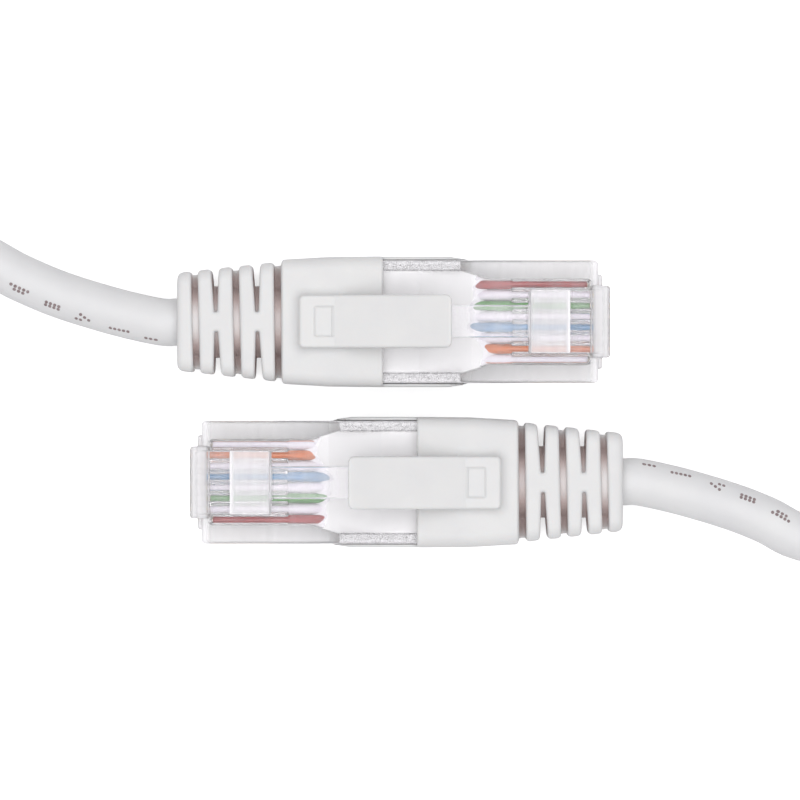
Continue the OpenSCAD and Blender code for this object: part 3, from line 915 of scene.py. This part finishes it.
def make_cable():
    data = bpy.data.curves.new("cable", "CURVE")
    data.dimensions = "3D"
    data.bevel_depth = CABLE_D / 2 * MM
    data.bevel_resolution = 14
    data.use_fill_caps = True
    # it runs a little way into each boot, so that no end shows
    ends = CABLE_LINE[:1] + CABLE_INTO_BOOT, CABLE_LINE[-1:] - CABLE_INTO_BOOT
    line = np.concatenate([ends[0], CABLE_LINE, ends[1]]) * MM
    spline = data.splines.new("POLY")
    spline.points.add(len(line) - 1)
    spline.points.foreach_set("co", np.column_stack([line, np.ones(len(line))]).ravel())
    spline.use_smooth = True
    cable = bpy.data.objects.new("cable", data)
    bpy.context.scene.collection.objects.link(cable)
    data.materials.append(materials["cable"])
    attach(cable, "cable")
    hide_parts("cord")


make_cable()

# The jacket's print, kept to plain rows of dots. Each row is (distance from the boot, how many dots, degrees
# down from the top of the cable, degrees that each dot is below the last).
PRINT_ROWS = [
    (1.6, 3, 52, 0), (4.2, 5, 44, 0.6), (8.1, 3, 42, -5), (8.9, 2, 48, 0), (11.2, 4, 30, 0), (11.2, 4, 38, 0),
    (14.6, 5, 24, 0), (15.0, 3, 33, 0)]
DOT_R = 0.165
DOT_STEP = 0.43
DOT_SIDES = 10
DOT_RINGS = [(-0.05, 1.0), (0.008, 1.0), (0.014, 0.7)]   # height over the jacket, share of the dot's radius


def cable_point(line, at, angle, lift):
    """A point lift over the cable's jacket: at along the line, and angle down from the top on its left."""
    middle, further = [
        np.array([np.interp(place, lengths(line), line[:, k]) for k in range(3)]) for place in (at, at + 0.5)]
    ahead = further - middle
    aside = np.array([-ahead[1], ahead[0], 0]) / math.hypot(ahead[0], ahead[1])
    above = np.cross(ahead, aside) / np.linalg.norm(ahead)
    return middle + (CABLE_D / 2 + lift) * (math.cos(angle) * above + math.sin(angle) * aside)


def print_dots(line):
    """Points and faces of the dots at the end of the cable where the line starts."""
    points, faces = [], []
    for start, count, down, drop in PRINT_ROWS:
        for k in range(count):
            faces += ring_faces(len(points), len(DOT_RINGS), DOT_SIDES)
            for lift, size in DOT_RINGS:
                for turn in 2 * math.pi * np.arange(DOT_SIDES) / DOT_SIDES:
                    at = start + k * DOT_STEP + DOT_R * size * math.cos(turn)
                    angle = math.radians(down + k * drop) + DOT_R * size * math.sin(turn) / (CABLE_D / 2)
                    points.append(cable_point(line, at, angle, lift))
    return np.array(points), faces


def make_print():
    for end, line in (("a", CABLE_LINE), ("b", CABLE_LINE[::-1])):
        points, faces = print_dots(line)
        name = f"cable_print_{end}"
        piece = new_piece(name, new_mesh(name, points * MM, faces), materials["mark"])
        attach(piece, "cable")


make_print()

# ---------------------------------------------------------------- pieces of the two ends

shapes = {
    "boot": boot_shape(), "tongue": tongue_shape(), "plug": plug_shape(), "mould": mould_shape(),
    "contacts": contacts_shape(), "jacket": jacket_shape(), **{w: wire_shape(i) for i, w in enumerate(WIRES)}}

for end in ENDS:
    boot = place("boot", end, shapes["boot"], materials["boot"], "boot_pvc")
    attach(boot, "cable")
    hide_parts(f"boot_{end}")

    tongue = place("latch_guard", end, shapes["tongue"], materials["boot"], "boot_pvc")
    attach(tongue, f"guard_{end}")
    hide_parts(f"latch_guard_{end}")

    plug = place("clear_plug", end, shapes["plug"], materials["clear"], "clear_plug")
    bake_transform(plug)
    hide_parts(f"plug_housing_{end}", f"plug_latch_{end}")

    mould = place("inner_mould", end, shapes["mould"], materials["mould"], "inner_mould")
    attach(mould, "cable")
    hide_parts(f"inner_mould_{end}")

    contacts = place("contacts", end, shapes["contacts"], materials["gold"], "contact_gold")
    contacts.data.shade_flat()
    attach(contacts, "cable")
    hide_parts(f"contacts_{end}")

    jacket = place("jacket_end", end, shapes["jacket"], materials["cable"], "cable_jacket")
    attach(jacket, "cable")
    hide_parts(f"jacket_end_{end}")

    for wire in WIRES:
        piece = place(f"wire_{wire}", end, shapes[wire], materials[wire], f"wire_{wire}")
        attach(piece, "cable")
        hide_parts(f"wire_{wire}_{end}")

# ---------------------------------------------------------------- stage and light
# in metres

FLOOR_HALF = 1.5
FLOOR_Z = -0.0002


def make_floor():
    corners = [(-1, -1), (1, -1), (1, 1), (-1, 1)]
    mesh = bpy.data.meshes.new("floor")
    mesh.from_pydata([(x * FLOOR_HALF, y * FLOOR_HALF, 0) for x, y in corners], [], [(0, 1, 2, 3)])
    floor = new_piece("floor", mesh, floor_material())
    floor.location.z = FLOOR_Z


def area_light(name, size, power, at):
    """A round light that shines at the origin."""
    data = bpy.data.lights.new(name, "AREA")
    data.shape, data.size, data.energy = "DISK", size, power
    light = bpy.data.objects.new(name, data)
    bpy.context.scene.collection.objects.link(light)
    light.location = at
    light.rotation_euler = (Vector() - Vector(at)).to_track_quat("-Z", "Y").to_euler()


def make_world(colour, strength):
    world = bpy.data.worlds.new("world")
    world.use_nodes = True
    background = world.node_tree.nodes["Background"]
    background.inputs["Color"].default_value = colour
    background.inputs["Strength"].default_value = strength
    bpy.context.scene.world = world


make_floor()
area_light("overhead", size=0.9, power=3.15, at=(0.0, 0.0, 0.6))
make_world((0.985, 0.975, 1, 1), 0.6)
scene = bpy.context.scene
scene.view_settings.view_transform = "Standard"
scene.cycles.transparent_max_bounces = 24
scene.cycles.max_bounces = 20
scene.cycles.transmission_bounces = 16
scene.cycles.caustics_reflective = False
scene.cycles.caustics_refractive = True
